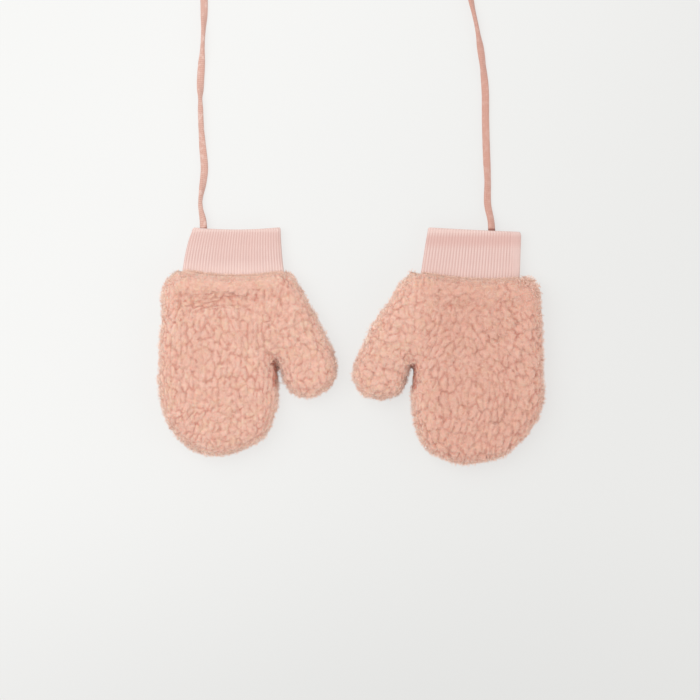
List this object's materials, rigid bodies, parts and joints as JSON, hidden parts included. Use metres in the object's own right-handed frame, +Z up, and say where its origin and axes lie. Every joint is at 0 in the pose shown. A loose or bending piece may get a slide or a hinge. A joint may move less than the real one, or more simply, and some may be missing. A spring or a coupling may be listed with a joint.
{
  "type": "pair of baby mittens",
  "caption": "Baby mittens in thick teddy fleece, the thumb cut in one with the hand, with rib-knit cuffs, laid flat and joined by a long flat knitted cord.",
  "frame": {"origin": "on the table, under the middle of the two mittens' bounding box", "axes": "+X across the pair, from the left mitten to the right one; +Y from the finger tips to the cuffs; +Z up from the table"},
  "size_m": [0.2188, 0.3736, 0.0182],
  "materials": {
    "fleece": "peach-pink curly teddy fleece with a soft matt nap",
    "rib": "pale pink fine 1 x 1 rib knit, matt",
    "cord": "salmon-pink flat knitted cord, matt"
  },
  "bodies": {
    "root": {"mitten_left_back": "fleece", "mitten_left_palm": "fleece", "mitten_left_cuff": "rib", "mitten_right_back": "fleece", "mitten_right_palm": "fleece", "mitten_right_cuff": "rib", "cord": "cord"}
  },
  "joints": []
}
